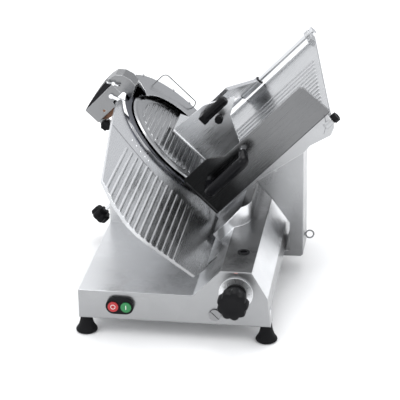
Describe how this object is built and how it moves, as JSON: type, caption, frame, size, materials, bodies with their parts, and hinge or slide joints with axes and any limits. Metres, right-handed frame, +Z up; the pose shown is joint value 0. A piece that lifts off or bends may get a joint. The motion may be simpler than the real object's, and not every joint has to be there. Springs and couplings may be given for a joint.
{
  "type": "deli meat slicer",
  "caption": "Gravity-feed slicer with a tilted round blade, sliding product tray, ribbed thickness gauge, pusher arm and built-on sharpener.",
  "frame": {"origin": "on the table, under the middle of the machine seen from above", "axes": "+X to the right along the front panel, +Y back from the operator, +Z up"},
  "size_m": [0.5439, 0.674, 0.4449],
  "materials": {
    "cast_aluminium": "satin bead-blasted casting",
    "polished_aluminium": "brushed and polished",
    "ribbed_aluminium": "brushed, with pressed ribs",
    "dial_aluminium": "satin with engraved scale",
    "steel": "turned",
    "steel_sheet": "plain sheet",
    "blade_steel": "mirror ground",
    "chrome": "bright plated",
    "brass": "machined",
    "rubber": "moulded",
    "black_plastic": "moulded",
    "gloss_black": "moulded phenolic",
    "red_plastic": "moulded",
    "green_plastic": "moulded",
    "motor_paint": "enamel",
    "stone": "bonded grit"
  },
  "bodies": {
    "machine_base": {"base_casting": "cast_aluminium", "base_plate": "steel_sheet", "case_screws": "steel", "rubber_feet": "rubber", "foot_studs": "steel", "switch_housing": "black_plastic", "switch_block": "black_plastic", "rod_plug": "chrome", "oil_cap": "black_plastic", "cable_gland": "black_plastic", "gauge_guide_rod": "steel", "blade_housing": "cast_aluminium", "blade_shroud": "polished_aluminium", "motor": "motor_paint", "drive_belt": "rubber", "hub_bearings": "steel", "blade_cover": "polished_aluminium", "blade_guard": "polished_aluminium", "guard_wire": "chrome", "sharpener_bracket": "cast_aluminium", "slide_rod": "chrome"},
    "blade_unit": {"blade_hub": "steel", "blade": "blade_steel", "blade_screws": "steel"},
    "motor_rotor": {"motor_pulley": "steel"},
    "cover_clamp": {"cover_rod": "chrome", "cover_knob": "black_plastic"},
    "stop_key": {"stop_button": "red_plastic"},
    "start_key": {"start_button": "green_plastic"},
    "gauge_unit": {"gauge_plate": "ribbed_aluminium", "gauge_arm": "polished_aluminium", "gauge_bolts": "steel", "cam_roller": "steel"},
    "dial_unit": {"dial_disc": "dial_aluminium", "thickness_knob": "gloss_black", "dial_shaft": "steel", "gauge_cam": "steel"},
    "carriage": {"tray_floor": "ribbed_aluminium", "tray_wall": "polished_aluminium", "tray_frame": "cast_aluminium", "carriage_arm": "cast_aluminium", "slide_bushes": "brass", "hand_grip": "gloss_black", "grip_ferrules": "chrome", "pusher_rod": "chrome"},
    "tray_knob": {"tray_end_knob": "black_plastic"},
    "ring_pin": {"ring_pull": "chrome"},
    "pusher_slider": {"pusher_bush": "black_plastic"},
    "pusher": {"pusher_body": "polished_aluminium", "pusher_spikes": "steel", "pusher_grip": "gloss_black"},
    "pusher_lock": {"pusher_knob": "black_plastic"},
    "sharpener": {"sharpener_housing": "polished_aluminium", "sharpener_head": "polished_aluminium", "sharpener_cap": "black_plastic"},
    "grinding_wheel": {"sharpening_stone": "stone"},
    "deburring_wheel": {"deburring_stone": "stone"},
    "sharpener_clamp": {"sharpener_knob": "black_plastic"},
    "head_wing_nut": {"wing_nut": "chrome"},
    "head_lever": {"stone_lever": "chrome"}
  },
  "joints": [
    {"name": "blade_spin", "type": "hinge", "parent": "machine_base", "child": "blade_unit", "pos_m": [-0.23853, 0.163, 0.06994], "axis": [0.7009, 0, 0.7133], "continuous": true},
    {"name": "motor_spin", "type": "hinge", "parent": "machine_base", "child": "motor_rotor", "pos_m": [-0.19787, 0.091, 0.02999], "axis": [0.7009, 0, 0.7133], "continuous": true},
    {"name": "cover_knob_turn", "type": "hinge", "parent": "machine_base", "child": "cover_clamp", "pos_m": [-0.23853, 0.163, 0.06994], "axis": [0.7009, 0, 0.7133], "range_deg": [0, 720]},
    {"name": "stop_press", "type": "slide", "parent": "machine_base", "child": "stop_key", "axis": [0, 1, 0], "range_m": [0, 0.0035], "stiffness_N_per_m": 400},
    {"name": "start_press", "type": "slide", "parent": "machine_base", "child": "start_key", "axis": [0, 1, 0], "range_m": [0, 0.0035], "stiffness_N_per_m": 400},
    {"name": "gauge_slide", "type": "slide", "parent": "machine_base", "child": "gauge_unit", "axis": [0.7009, 0, 0.7133], "range_m": [-0.011, 0.0035]},
    {"name": "dial_turn", "type": "hinge", "parent": "machine_base", "child": "dial_unit", "pos_m": [0.09929, -0.277, 0.1058], "axis": [0, 1, 0], "range_deg": [-71, 221]},
    {"name": "carriage_slide", "type": "slide", "parent": "machine_base", "child": "carriage", "axis": [0, 1, 0], "range_m": [-0.265, 0.035]},
    {"name": "tray_knob_turn", "type": "hinge", "parent": "carriage", "child": "tray_knob", "pos_m": [0.25611, 0.008, 0.35358], "axis": [0.7009, 0, 0.7133], "range_deg": [0, 720]},
    {"name": "ring_pin_pull", "type": "slide", "parent": "carriage", "child": "ring_pin", "axis": [1, 0, 0], "range_m": [0, 0.008], "stiffness_N_per_m": 300},
    {"name": "pusher_slide", "type": "slide", "parent": "carriage", "child": "pusher_slider", "axis": [0.7009, 0, 0.7133], "range_m": [0, 0.138]},
    {"name": "pusher_swing", "type": "hinge", "parent": "pusher_slider", "child": "pusher", "pos_m": [0.05855, 0.313, 0.30377], "axis": [0.7009, 0, 0.7133], "range_deg": [-45, 0]},
    {"name": "pusher_lock_turn", "type": "hinge", "parent": "pusher", "child": "pusher_lock", "pos_m": [0.01679, 0.113, 0.30835], "axis": [0, -1, 0], "range_deg": [0, 360]},
    {"name": "sharpener_lift", "type": "slide", "parent": "machine_base", "child": "sharpener", "axis": [-0.7133, 0, 0.7009], "range_m": [0, 0.02]},
    {"name": "grinding_wheel_spin", "type": "hinge", "parent": "sharpener", "child": "grinding_wheel", "pos_m": [-0.23136, 0.157, 0.30124], "axis": [0, 1, 0], "continuous": true},
    {"name": "deburring_wheel_spin", "type": "hinge", "parent": "sharpener", "child": "deburring_wheel", "pos_m": [-0.18729, 0.167, 0.35607], "axis": [0.7009, 0, 0.7133], "continuous": true},
    {"name": "sharpener_knob_turn", "type": "hinge", "parent": "sharpener", "child": "sharpener_clamp", "pos_m": [-0.22826, 0.147, 0.27015], "axis": [0, -1, 0], "range_deg": [0, 360]},
    {"name": "wing_nut_turn", "type": "hinge", "parent": "sharpener", "child": "head_wing_nut", "pos_m": [-0.20857, 0.143, 0.36437], "axis": [0, -1, 0], "range_deg": [0, 360]},
    {"name": "stone_lever_turn", "type": "hinge", "parent": "sharpener", "child": "head_lever", "pos_m": [-0.21468, 0.143, 0.33533], "axis": [0, -1, 0], "range_deg": [-20, 0]}
  ],
  "couplings": [
    {"joint": "motor_spin", "follows": "blade_spin", "ratio": 2.8125},
    {"joint": "dial_turn", "follows": "gauge_slide", "rad_per_m": -349.07}
  ]
}
